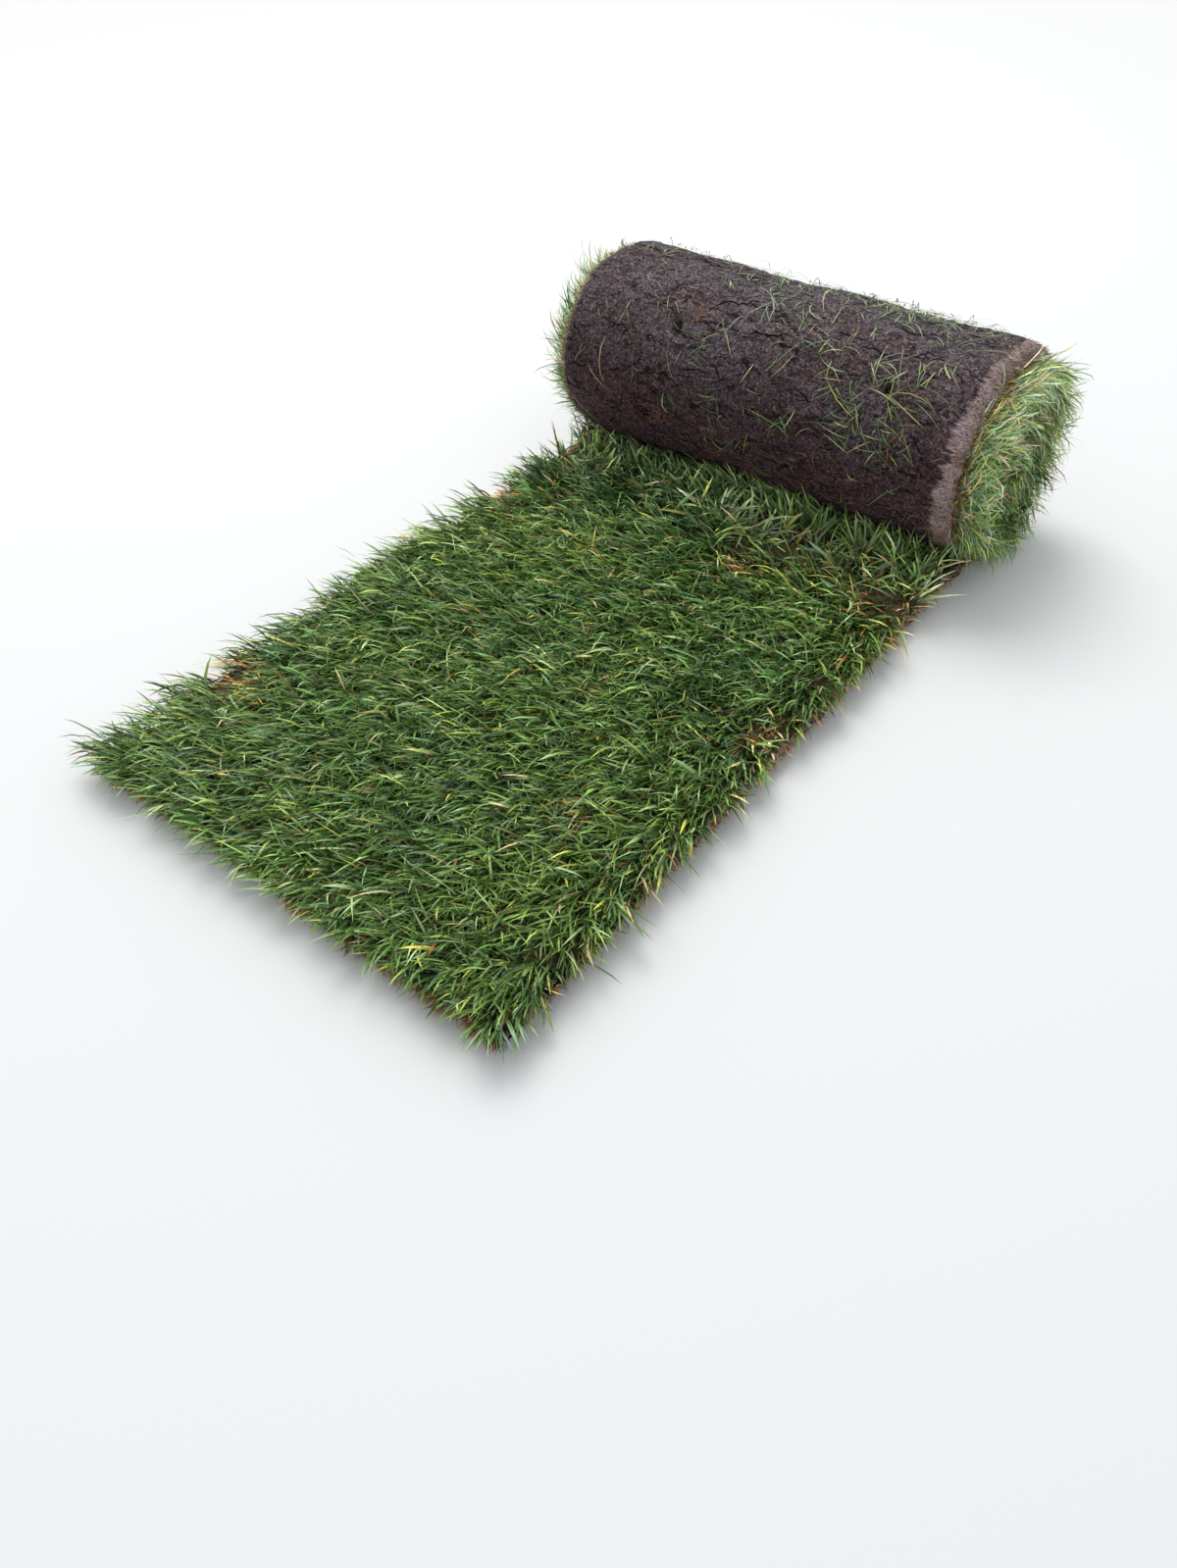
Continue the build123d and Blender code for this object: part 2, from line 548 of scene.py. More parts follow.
def thatch_material():
    """The matted base of the sward: dead sheaths, moss and shade."""
    material, tree, shader = new_material("matted_thatch", 0.9, 0.3)
    place = object_place(tree)
    matted = (WHITE, place, (300, 4.0, 0.7), (0.35, 0.68))
    mossy, strands = mottled(tree, *matted, (0.012, 0.014, 0.005), (0.085, 0.088, 0.030))
    brown, _ = mottled(tree, *matted, (0.020, 0.012, 0.007), (0.20, 0.12, 0.055))
    patches = ramp(tree, noise(tree, place, 45, 3.0, 0.6), 0.45, 0.60)
    tree.links.new(mixed(tree, patches, mossy, brown), shader.inputs["Base Color"])
    tree.links.new(bump(tree, strands, 0.002, 0.8), shader.inputs["Normal"])
    return material


# Soil

EDGE_WIDTH = 0.021       # the strip thins over this width along its sides
EDGE_DROP = 0.0075       # and by this much at the very side
LEFT_RIM = 0.35          # the left end's dry margin is this much of the right end's
CRUMB_HEIGHT = 0.0009    # how far crumbs, grit and flakes stand out of the soil
GRIT_HEIGHT = 0.0004
FLAKE_HEIGHT = 0.0009
ALONG_ROLL = np.array([0.32, 1, 1])   # draws the flakes out along X

# The two dug holes: x from the middle, degrees up the roll's front, and height
DUG_HOLES = ((-0.0846, 45.8, 0.0075), (0.1189, 46.6, 0.0065))
HOLE_DEPTH = 0.0105
HOLE_WIDTH = 0.0042
HOLE_LEAN = 0.35         # they lean to the left by this much of their height


def dug_hole(corners, x, degrees, tall):
    """How far a hole in the roll's front sinks each point."""
    (y, z), = on_strip(round_front([degrees]), 0)[0]
    off = corners - np.array([MIDDLE_X + x, y, z])
    lean = off[:, 0] + HOLE_LEAN * off[:, 2]
    from_middle = (lean / HOLE_WIDTH) ** 2 + (off[:, 1] ** 2 + off[:, 2] ** 2) / tall**2
    return HOLE_DEPTH * np.exp(-(from_middle ** 2))


def dry_share(corners, across, edge, relief):
    """How dry the soil is, from 0 to 1: along its right side, on a rim of its left and at the cut end."""
    left_rim = np.clip((edge - 1 + LEFT_RIM) / LEFT_RIM, 0, 1) * 0.6
    patchy = 0.24 * relief.rough(corners, 0.024, 3)
    at_cut_end = 0.75 * step(CUT_END_Y + 0.006 - corners[:, 1], 0, 0.004)
    at_side = np.where(across > 0, edge + patchy * (edge > 0), left_rim)
    return np.clip(np.maximum(at_side, at_cut_end + patchy * at_cut_end), 0, 1)


def dress_soil(piece, inset, inward, lumps, dryness=1.0, damp_foot=0.0, frayed=0.0032):
    """Thin the strip's sides, crumble its faces, dig the two holes and mark its dry edges."""
    corners = corners_of(piece)
    relief = Relief(3)
    across = corners[:, 0] - MIDDLE_X
    edge = np.clip((np.abs(across) - HALF_WIDTH + EDGE_WIDTH) / EDGE_WIDTH, 0, 1)
    outer = np.clip(1 - inset / SOIL, 0, 1)
    sink = EDGE_DROP * (1 - np.sqrt(1 - edge**2)) * (1 + 0.3 * relief.at(corners, 0.018))
    sink -= relief.rough(corners, 0.085, 2) * lumps
    sink -= relief.rough(corners + 5, 0.011, 3) * CRUMB_HEIGHT + relief.at(corners + 7, 0.0045) * GRIT_HEIGHT
    sink -= relief.rough(corners * ALONG_ROLL + 4, 0.020, 3) * FLAKE_HEIGHT
    for hole in DUG_HOLES:
        sink += dug_hole(corners, *hole)
    ragged = relief.rough(corners + 9, 0.016, 3) * frayed * step(edge, 0.6, 1)
    moved = corners + inward * (sink * outer)[:, None]
    moved[:, 0] = telescoped(corners[:, 0] + np.sign(across) * ragged, corners[:, 1], corners[:, 2])
    moved[:, 2] = np.maximum(moved[:, 2], 0)
    move_corners(piece, moved)
    dry = dry_share(corners, across, edge, relief) * dryness
    paint(piece, "dry_edge", dry * (1 - damp_foot * (1 - step(corners[:, 2], 0.001, 0.011))))


def crowd_to_sides(piece):
    """Draw the rows of a coarse strip out to its sides, so that its edges still round."""
    corners = corners_of(piece)
    across = np.clip((corners[:, 0] - MIDDLE_X) / HALF_WIDTH, -1, 1)
    corners[:, 0] = MIDDLE_X + np.sign(across) * (1 - (1 - np.abs(across)) ** 1.9) * HALF_WIDTH
    move_corners(piece, corners)


def cut_end_shift(points):
    """How far the ragged cut end stands in from its straight line."""
    return Relief(5).rough(points, 0.024, 4) * 0.0045


FREE_END_STEPS = 150


def soil_pieces(material):
    """The soil as the roll's outer turn, which is returned, its inner turns and the free end."""
    outer = swept_turns("soil_outer_turn", 0, SOIL, 0, 1, cuts=(25, 3, 0), arc_step=0.0135, finer=3)
    dress_soil(outer, *in_roll(corners_of(outer)), lumps=0.0024)
    inner = swept_turns("soil_inner_turns", 0, SOIL, 2, len(TURNS) - 1, cuts=(7, 7, 1), arc_step=0.007,
                        finer=1)
    crowd_to_sides(inner)
    dress_soil(inner, *in_roll(corners_of(inner)), lumps=0.0004)
    flat = strip_section("soil_free_end", CUT_END_Y, 0, SOIL, 17, 5, 2)
    step_along = (FREE_END - SETTLED_RUN / 2) / FREE_END_STEPS
    bpy.ops.mesh.extrude_repeat(steps=FREE_END_STEPS, offset=(0, step_along, 0))
    close_strip(flat, finer=1)
    crowd_to_sides(flat)
    corners = corners_of(flat)
    at_cut = corners[:, 1] < CUT_END_Y + 0.001
    move_corners(flat, corners + np.array([0, 1, 0]) * (cut_end_shift(corners) * at_cut)[:, None])
    upwards = np.tile([0.0, 0.0, 1.0], (len(corners), 1))
    dress_soil(flat, corners[:, 2], upwards, lumps=0.0004, dryness=0.66, damp_foot=0.7, frayed=0.0052)
    for piece in (outer, inner, flat):
        finish_piece(piece, material, SOIL_NODE)
    return outer


# Blades

BLADE_ROWS = 4
FIBRE_ROWS = 2
CRACK_ROWS = 6
TIP = 0.49               # only the last edge of a unit grid lies further up than this


def blade_blank(rows):
    """One flat blade, a unit wide: its corners' places across it and rows along it, and its faces."""
    deselect_all()
    bpy.ops.mesh.primitive_grid_add(x_subdivisions=1, y_subdivisions=rows, size=1, location=(0, 0, 0))
    blank = bpy.context.object
    bpy.ops.object.mode_set(mode="EDIT")
    bpy.ops.mesh.select_mode(type="EDGE")
    select_edges(blank.data, lambda middle: middle.y > TIP)
    bpy.ops.mesh.merge(type="CENTER")
    bpy.ops.object.mode_set(mode="OBJECT")
    corners = corners_of(blank)

    # Narrower below a quarter of its length, and drawn to a point above
    share = corners[:, 1] + 0.5
    width = np.minimum(0.6 + 1.6 * share, 1) * np.sqrt(np.clip(1 - share**2.4, 0, 1))
    across = corners[:, 0] * width
    faces = [list(face.vertices) for face in blank.data.polygons]
    bpy.data.objects.remove(blank)
    return across, np.round(share * rows).astype(int), faces


BLADE = blade_blank(BLADE_ROWS)
FIBRE = blade_blank(FIBRE_ROWS)

# Colours of blades, and how common each is in fresh, worn, pale and cut grass
BLADE_COLOURS = np.array([
    (0.038, 0.088, 0.017),   # dark green
    (0.091, 0.178, 0.038),   # mid green
    (0.162, 0.274, 0.058),   # bright green
    (0.090, 0.185, 0.085),   # blue green
    (0.285, 0.400, 0.165),   # pale green
    (0.350, 0.400, 0.070),   # yellow green
    (0.520, 0.430, 0.085),   # yellow
    (0.470, 0.375, 0.185),   # straw
    (0.300, 0.125, 0.040),   # orange brown
    (0.110, 0.060, 0.030),   # brown
])
FRESH = (0.16, 0.26, 0.27, 0.08, 0.15, 0.050, 0.008, 0.018, 0.002, 0.002)
WORN = (0.08, 0.15, 0.16, 0.07, 0.08, 0.12, 0.06, 0.11, 0.11, 0.06)
PALE = (0.03, 0.10, 0.17, 0.05, 0.27, 0.16, 0.02, 0.18, 0.01, 0.01)
CUT = (0.04, 0.16, 0.18, 0.22, 0.22, 0.07, 0.01, 0.09, 0.01, 0.00)
DEAD = (0.00, 0.00, 0.00, 0.00, 0.00, 0.03, 0.04, 0.30, 0.38, 0.25)
ROOTS = (0.00, 0.00, 0.00, 0.00, 0.00, 0.00, 0.00, 0.55, 0.20, 0.25)
RUSTY = (0.25, 0.085, 0.045)

ROOT_PAINTED_SHADE = 0.30        # painted shade: how bright a blade is at its root
TIP_PAINTED_LIGHT = 1.15         # and how much brighter, as painted light, at its tip
PALE_FOOT = (0.20, 0.20, 0.09)
PALE_FOOT_SHARE = 0.25   # the pale sheath takes up this share of a blade

# Middle width, spread, narrowest and widest
SWARD_WIDTH = (0.00142, 0.34, 0.0007, 0.0030)
NIP_WIDTH = (0.00205, 0.30, 0.0010, 0.0036)
TUFT_WIDTH = (0.00112, 0.32, 0.0006, 0.0024)
CLIPPING_WIDTH = (0.00072, 0.28, 0.0004, 0.0014)

FLOOR_GAP = 0.0008       # a blade's middle line stays this far above the floor
EDGE_GAP = 0.0003        # and its edges this far
FIBRE_GAP = 0.0004
SOIL_GAP = 0.001         # blades stay this far above the free end's soil
ROOTED = 0.001           # and root this deep in it
BESIDE_ROLL = 0.004      # blades up to this far beside the roll still lean on it

# How far blades reach to either side and upwards, and the room in which longer ones bend in
FURTHEST_BLADE = (0.240, 0.018)
HIGHEST_BLADE = (0.204, 0.010)


def pick_colours(count, commonness, spread=0.32):
    """A colour for each blade, a little brighter or darker than its kind."""
    kinds = rng.choice(len(BLADE_COLOURS), size=count, p=np.array(commonness) / sum(commonness))
    return BLADE_COLOURS[kinds] * np.exp(rng.normal(0, spread, (count, 1))).clip(0.28, 2.0)


def blade_lines(roots, first_way, last_way, lengths, bend=0.8, rows=BLADE_ROWS):
    """Points along each blade, whose way turns from the first to the last."""
    lines = np.zeros((len(roots), rows + 1, 3))
    lines[:, 0] = roots
    for part in range(rows):
        share = ((part + 0.5) / rows) ** bend
        way = unit(first_way * (1 - share) + last_way * share)
        lines[:, part + 1] = lines[:, part] + way * (lengths / rows)[:, None]
    return lines


def blade_mesh(name, corners, faces):
    """A mesh of many copies of the same faces, on each blade's own corners."""
    count, per_blade, _ = corners.shape
    loops = np.concatenate([np.array(face) for face in faces])
    sizes = np.tile([len(face) for face in faces], count)
    mesh = bpy.data.meshes.new(name)
    mesh.vertices.add(count * per_blade)
    mesh.vertices.foreach_set("co", corners.ravel())
    mesh.loops.add(count * len(loops))
    mesh.loops.foreach_set("vertex_index", (loops[None] + np.arange(count)[:, None] * per_blade).ravel())
    mesh.polygons.add(len(sizes))
    mesh.polygons.foreach_set("loop_start", np.concatenate([[0], np.cumsum(sizes)[:-1]]))
    mesh.polygons.foreach_set("loop_total", sizes)
    mesh.update(calc_edges=True)
    return mesh


def grow(name, lines, widths, colours, flat_way, material, twist=0.9, foot=0.30, blank=BLADE,
         node_and_slot=GRASS_NODE):
    """One piece of many blades: coloured copies of the blank, bent along their lines and facing flat_way."""
    across, row, faces = blank
    count, rows, _ = lines.shape
    run = unit(np.gradient(lines, axis=1))
    side = unit(np.cross(run, flat_way[:, None, :]))
    turn = rng.normal(0, twist, (count, 1)) * np.linspace(0, 1, rows)
    side = side * np.cos(turn)[..., None] + np.cross(side, run) * np.sin(turn)[..., None]
    corners = lines[:, row] + side[:, row] * (widths[:, None] * across)[..., None]
    mesh = blade_mesh(name, above_floor(corners, EDGE_GAP), faces)

    share = (row / (rows - 1))[None, :, None]
    # Painted shade low on each blade, rising to painted light at its tip
    tint = colours[:, None, :] * (ROOT_PAINTED_SHADE + TIP_PAINTED_LIGHT * share)
    pale_foot = foot * np.clip(1 - share / PALE_FOOT_SHARE, 0, 1)
    tint = tint * (1 - pale_foot) + np.array(PALE_FOOT) * pale_foot
    rgba = np.concatenate([tint, np.ones((count, len(across), 1))], 2)
    mesh.color_attributes.new("blade_colour", "FLOAT_COLOR", "POINT").data.foreach_set("color", rgba.ravel())

    piece = bpy.data.objects.new(name, mesh)
    bpy.context.scene.collection.objects.link(piece)
    finish_piece(piece, material, node_and_slot)


def ways_from(heading, rise):
    """Unit ways from a heading in the XY plane and a rise above it, in radians."""
    return np.stack([np.cos(heading) * np.cos(rise), np.sin(heading) * np.cos(rise), np.sin(rise)], 1)


def above_floor(points, gap):
    points[..., 2] = np.maximum(points[..., 2], gap)
    return points


def clear_of_roll(lines, gap):
    """Push blade points out of the roll's front, so that blades lean on it."""
    gap = np.asarray(gap)[:, None]
    out_y = lines[..., 1] - FRONT_Y
    out_z = lines[..., 2] - FRONT_Z
    reach = np.hypot(out_y, out_z)
    before_roll = np.abs(lines[..., 0] - MIDDLE_X) < HALF_WIDTH + BESIDE_ROLL
    inside = (reach < FRONT_RADIUS + gap) & before_roll
    push = np.where(inside, (FRONT_RADIUS + gap) / np.maximum(reach, 1e-6), 1)
    lines[..., 1] = FRONT_Y + out_y * push
    lines[..., 2] = FRONT_Z + out_z * push
    return lines


def clear_of_ground(lines):
    """Keep blades above the free end's soil, and above the floor beyond it."""
    over_soil = (lines[..., 1] > CUT_END_Y) & (np.abs(lines[..., 0] - MIDDLE_X) < HALF_WIDTH)
    lowest = np.where(over_soil & (lines[..., 1] < MIDDLE_Y), SOIL + SOIL_GAP, FLOOR_GAP)
    lowest[:, 0] = 0
    return above_floor(lines, lowest)


def within_reach(lines):
    """Bend in the blades that would reach past the furthest on either side, or above the highest."""
    for axis, (furthest, room) in ((0, FURTHEST_BLADE), (2, HIGHEST_BLADE)):
        place = lines[..., axis]
        knee = furthest - room
        beyond = np.maximum(np.abs(place) - knee, 0)
        bent = np.sign(place) * (knee + room * np.tanh(beyond / room))
        lines[..., axis] = np.where(beyond > 0, bent, place)
    return lines


def tuft_spots(count, low, high, per_tuft, spread):
    """Root places in small tufts, in the XY plane, and a number that each tuft shares."""
    tufts = count // per_tuft + 1
    centres = np.stack([rng.uniform(low[0], high[0], tufts), rng.uniform(low[1], high[1], tufts)], 1)
    own = rng.normal(0, 1, tufts)
    spots = np.repeat(centres, per_tuft, 0)[:count] + rng.normal(0, spread, (count, 2))
    return np.clip(spots, np.array(low), np.array(high)), np.repeat(own, per_tuft)[:count]


# Where the open sward ends and the roll's front begins
NIP_Y = FRONT_Y - 0.034

# Worn patches of the free end: x from its middle, distance from the roll, and size
WORN_PATCHES = (
    (0.028, 0.060, 0.025), (0.066, 0.070, 0.030), (0.104, 0.060, 0.025), (0.172, 0.080, 0.028),
    (-0.178, 0.050, 0.024), (-0.130, 0.125, 0.013), (0.052, 0.122, 0.015), (-0.186, 0.155, 0.016),
    (0.188, 0.290, 0.016), (-0.060, 0.330, 0.010), (0.120, 0.440, 0.012), (-0.175, 0.480, 0.016),
)
LEANS_AHEAD = 0.008      # the middle of a combed blade lies this far ahead of its root
SWARD_RELIEF = Relief(11)


def scuffs(flat):
    """How worn the sward is, from 0 to 1, where the middle of a blade with this root lies."""
    worn = np.zeros(len(flat))
    for x, ahead, size in WORN_PATCHES:
        off = flat[:, :2] - np.array([MIDDLE_X + x, NIP_Y - ahead + LEANS_AHEAD])
        worn = np.maximum(worn, np.exp(-((off / size) ** 2).sum(1)))
    return (worn * (1.15 + 0.8 * SWARD_RELIEF.rough(flat + 3, 0.018, 2))).clip(0, 1)


def sward(name, material, count, low, high, length_share, shade, upright):
    """Combed blades on the free end, tousled towards the roll and leaning out over the sides."""
    relief = SWARD_RELIEF
    spots, own = tuft_spots(count, low, high, per_tuft=4, spread=0.0026)
    flat = np.column_stack([spots, np.zeros(count)])

    # Thinner in its partings, in front of the roll and where it is worn
    parting = relief.rough(np.column_stack([spots, np.full(count, 0.3)]), 0.034, 2) > 0.55
    crowded = spots[:, 1] > NIP_Y - 0.09
    scuffed = scuffs(flat)
    kept = rng.random(count) > 0.65 * parting + 0.50 * crowded + 0.62 * scuffed
    spots, own, flat, scuffed, count = spots[kept], own[kept], flat[kept], scuffed[kept], kept.sum()

    # Combed one way in tufts, with some wild blades, and out over the sides
    x, y = spots.T
    tousle = step(y, NIP_Y - 0.15, NIP_Y - 0.01)
    across = (x - MIDDLE_X) / HALF_WIDTH
    heading = -math.pi / 2 - 0.20 + 0.16 * across + relief.rough(flat, 0.10, 2) * 0.42
    heading += own * (0.32 + 1.5 * tousle) + rng.normal(0, 0.38 + 0.55 * tousle, count)
    heading += np.where(rng.random(count) < 0.13, rng.uniform(-1.8, 1.8, count), 0)
    from_side = HALF_WIDTH - np.abs(x - MIDDLE_X)
    lean_out = np.clip(1 - from_side / 0.030, 0, 1) * 0.6
    heading = heading * (1 - lean_out) + np.where(across > 0, -0.3, -math.pi + 0.3) * lean_out
    first_rise = rng.normal(1.02 + upright, 0.24, count) + 0.20 * tousle
    last_rise = rng.normal(0.10 + upright, 0.30, count) + 0.40 * tousle - 0.3 * lean_out
    lengths = rng.normal(0.0295, 0.0080, count) * (1 + 0.25 * tousle)
    lengths = lengths.clip(0.012, 0.056) * length_share * (1 - 0.50 * scuffed)
    roots = np.column_stack([spots, np.full(count, SOIL - ROOTED)])
    swing = heading + rng.normal(0, 0.36, count)
    lines = blade_lines(roots, ways_from(heading, first_rise), ways_from(swing, last_rise), lengths)
    lines = within_reach(clear_of_ground(clear_of_roll(lines, rng.uniform(0.0005, 0.004, count))))
    widths = about(count, *SWARD_WIDTH) * (1 + 0.25 * tousle)

    # More straw and brown where it is worn and along the sides, bluer towards the roll, and darker towards it
    # as painted shade
    worn = 0.035 + 0.75 * scuffed + 0.12 * step(relief.rough(flat + 8, 0.04, 2), 0.35, 0.8)
    worn = rng.random(count) < worn + 0.28 * np.clip(1 - from_side / 0.02, 0, 1)
    dead = rng.random(count) < 0.80 * scuffed
    bluer = 1 + tousle[:, None] * np.array([-0.20, -0.05, 0.30])
    sunnier = 1.04 + relief.rough(flat + 20, 0.12, 2)[:, None] * np.array([0.26, 0.16, 0.05])
    colours = np.where(worn[:, None], pick_colours(count, WORN), pick_colours(count, FRESH) * bluer * sunnier)
    # Each layer's shade is painted: darker for the under layer as painted shade, lighter for the upper ones
    # as painted light
    colours = np.where(dead[:, None], pick_colours(count, DEAD) * 1.9, colours) * shade
    # Painted shade: darker towards the roll, less so for dead blades
    colours *= 1 - 0.58 * tousle[:, None] * (1 - 0.8 * dead[:, None])
    facing = unit(np.column_stack([rng.normal(0, 0.55, (count, 2)), np.ones(count)]))
    grow(name, lines, widths, colours, facing, material)


def nip_blades(material, count):
    """Long blades that stand up in front of the roll and lean against its soil, every way."""
    low = (MIDDLE_X - HALF_WIDTH + 0.003, NIP_Y - 0.075)
    high = (MIDDLE_X + HALF_WIDTH - 0.003, NIP_Y + 0.003)
    spots, own = tuft_spots(count, low, high, per_tuft=6, spread=0.0025)

    # Hardly any in the worn patches, and fewer and shorter on the left
    left_gap = step(MIDDLE_X + 0.02 - spots[:, 0], 0, 0.12)
    scuffed = scuffs(np.column_stack([spots, np.zeros(count)]))
    kept = rng.random(count) > np.maximum(0.93 * scuffed, 0.40 * left_gap)
    spots, own, left_gap, count = spots[kept], own[kept], left_gap[kept], kept.sum()

    # Standing up and longer the nearer they are to the roll
    near = step(spots[:, 1], low[1] + 0.002, low[1] + 0.045)
    heading = own * 2.5 + rng.normal(0, 0.7, count)
    roots = np.column_stack([spots, np.full(count, SOIL - ROOTED)])
    first = ways_from(heading, rng.normal(1.08, 0.20, count) + 0.30 * near)
    last = ways_from(heading + rng.normal(0, 0.4, count), rng.normal(0.30, 0.4, count) + 0.75 * near)
    lengths = (rng.normal(0.038, 0.011, count) + 0.010 * near).clip(0.016, 0.062) * (1 - 0.30 * left_gap)
    lines = blade_lines(roots, first, last, lengths)
    lines = within_reach(clear_of_ground(clear_of_roll(lines, 0.0008 + rng.uniform(0, 0.011, count))))
    widths = about(count, *NIP_WIDTH)
    facing = np.column_stack([rng.normal(0, 0.5, count), np.full(count, -1.0), rng.normal(0.4, 0.5, count)])
    # Painted highlight: brighter and bluer than fresh grass, for the sky's sheen on the blades; then a little
    # darker nearer the roll
    colours = pick_colours(count, FRESH, 0.75) * np.array([1.22, 1.02, 1.5]) * 1.70
    colours *= 1 - 0.18 * near[:, None]
    grow("nip_blades", lines, widths, colours, unit(facing), material, foot=0)


# The tufts of each end: piece, way out, how many, and how long
END_TUFTS = (("tufts_left", -1, 1000, 0.86), ("tufts_right", 1, 1250, 0.95))
TUFT = 7                 # blades in a tuft
TUFT_GAP = 0.001         # their lines stay this far above the floor
OUTER_SHARE = 0.60       # this share of the tufts grows on the outer turn
INNER_LENGTH = 0.52      # blades between the inner turns have this share of the others' length


def end_tufts(material):
    """Grass pressed out between the turns at both ends of the roll, in shaggy tufts."""
    for name, outwards, tufts, long in END_TUFTS:
        count = tufts * TUFT
        on_outer = int(tufts * OUTER_SHARE)
        middles = np.concatenate([
            rng.uniform(TURN_LENGTHS[0] * 0.08, OUTER_TURN, on_outer),
            rng.uniform(OUTER_TURN, ROLLED_LENGTH - 0.02, tufts - on_outer),
        ])
        own = np.repeat(rng.normal(0, 1, (tufts, 3)), TUFT, 0)
        along = (np.repeat(middles, TUFT) + rng.normal(0, 0.003, count)).clip(0.01, ROLLED_LENGTH - 0.01)
        outer = along < OUTER_TURN
        inset = SOIL + rng.uniform(0.0, 0.95, count) * PRESSED_GRASS
        place, forward, inward = on_strip(along, inset)
        x = MIDDLE_X + outwards * (HALF_WIDTH - rng.uniform(-0.001, 0.016, count))
        roots = np.column_stack([telescoped(x, place[:, 0], place[:, 1]), place])
        back = -in_space(forward)
        inner = in_space(inward)
        out = np.array([outwards, 0, 0])
        first = unit(out + back * (0.30 + 0.40 * own[:, :1] + rng.normal(0, 0.55, (count, 1)))
                     + inner * (0.03 + 0.12 * own[:, 1:2] + rng.normal(0, 0.14, (count, 1))))
        along_band = np.where(outer, 0.85, 1.5)[:, None] + (outwards < 0) * 0.9
        sweep = back * (along_band + 0.60 * own[:, :1] + rng.normal(0, 0.80, (count, 1)))
        aside = np.where(outer, 0.36, 0.22)[:, None]
        sweep += inner * (0.03 + aside * own[:, 1:2] + aside * rng.normal(0, 1, (count, 1)))
        droop = np.array([0, 0, -1]) * rng.uniform(0.0, 0.55, (count, 1))
        outward_part = (0.55 + 0.25 * own[:, 2:] + rng.normal(0, 0.3, (count, 1))).clip(0.1, 1.3)
        last = unit(out * outward_part + sweep + droop)
        lengths = rng.normal(0.036, 0.010, count) * np.where(outer, 1, INNER_LENGTH) * long
        lengths = lengths.clip(0.009, 0.056)
        lines = above_floor(blade_lines(roots, first, last, lengths, bend=1.0), TUFT_GAP)
        widths = about(count, *TUFT_WIDTH)
        # Higher tufts are paler and, as painted light from above, lighter and bluer; more of the lower ones
        # are darker fresh green
        high = step(lines[:, 0, 2], 0.02, 0.12)
        dark = rng.random(count) < 0.72 - 0.55 * high + 0.22 * (outwards < 0)
        fade_and_light = np.array([1.38, 1.34, 1.9]) + high[:, None] * np.array([0.46, 0.40, 0.9])
        faded_and_lit = pick_colours(count, PALE) * fade_and_light
        colours = np.where(dark[:, None], pick_colours(count, FRESH) * 1.35, faded_and_lit)
        flat_way = unit(inner + rng.normal(0, 0.45, (count, 3)))
        grow(name, within_reach(lines), widths, colours, flat_way, material)


# Fibres of the cut edges

ROOT_WIDTH = 0.00040
CUT_ROOT_WIDTH = 0.00042
SHEATH_WIDTH = 0.00085
SHEATH_LONGER = 1.9      # dead sheaths are this many times as long as roots


def fibre_lines(roots, first_way, last_way, sheaths):
    """Short lines that keep clear of the floor, for root hairs or dead sheaths."""
    lengths = rng.uniform(0.002, 0.0075, len(roots)) * (SHEATH_LONGER if sheaths else 1)
    lines = blade_lines(roots, unit(first_way), unit(last_way), lengths, bend=1.0, rows=FIBRE_ROWS)
    return above_floor(lines, FIBRE_GAP)


def edge_fibres(material):
    """Root hairs that bristle from the cut edges of the soil, and dead sheaths at the foot of the grass."""
    for name, count, sheaths, kinds, width, shade in (
        ("root_bristles", 18500, False, ROOTS, ROOT_WIDTH, 0.78),
        ("dead_sheaths", 7600, True, DEAD, SHEATH_WIDTH, 1.35),
    ):
        outwards = rng.choice((-1, 1), count, p=(0.34, 0.66))
        stretch = rng.choice(3, count, p=(0.22, 0.64, 0.14))
        along = np.choose(stretch, (
            rng.uniform(CUT_END_Y - MIDDLE_Y + 0.010, 0, count),
            rng.uniform(0.004, OUTER_TURN, count),
            rng.uniform(OUTER_TURN, ROLLED_LENGTH - 0.01, count),
        ))
        if sheaths:
            inset = rng.normal(SOIL - 0.0004, 0.0014, count)
            depth = rng.uniform(0.000, 0.008, count)
        else:
            on_face = (rng.random(count) < 0.45) | (along < 0)
            edge = np.where(on_face, 1, np.sqrt(rng.random(count)))
            depth = (1 - edge) * EDGE_WIDTH * np.where(outwards > 0, 1, LEFT_RIM)
            drop = EDGE_DROP * (1 - np.sqrt(1 - (1 - depth / EDGE_WIDTH) ** 2))
            inset = np.where(on_face, rng.uniform(EDGE_DROP, SOIL, count), drop) + 0.0004
        place, forward, inward = on_strip(along, inset)
        x = telescoped(MIDDLE_X + outwards * (HALF_WIDTH - depth), place[:, 0], place[:, 1])
        roots = np.column_stack([x, place])
        outside = -in_space(inward)
        ahead = in_space(forward)
        out = outwards[:, None] * np.array([1.0, 0, 0])
        first = out * 0.8 + outside * rng.uniform(0, 0.7, (count, 1))
        first += ahead * rng.normal(0, 0.45, (count, 1))
        last = out * 0.7 + outside * rng.normal(0.1, 0.5, (count, 1))
        last += ahead * rng.normal(0, 0.7, (count, 1))
        lines = fibre_lines(roots, first, last, sheaths)
        widths = rng.uniform(0.7, 1.5, count) * width
        flat_way = unit(outside + rng.normal(0, 0.5, (count, 3)))
        colours = pick_colours(count, kinds) * shade
        grow(name, lines, widths, colours, flat_way, material, foot=0, blank=FIBRE)


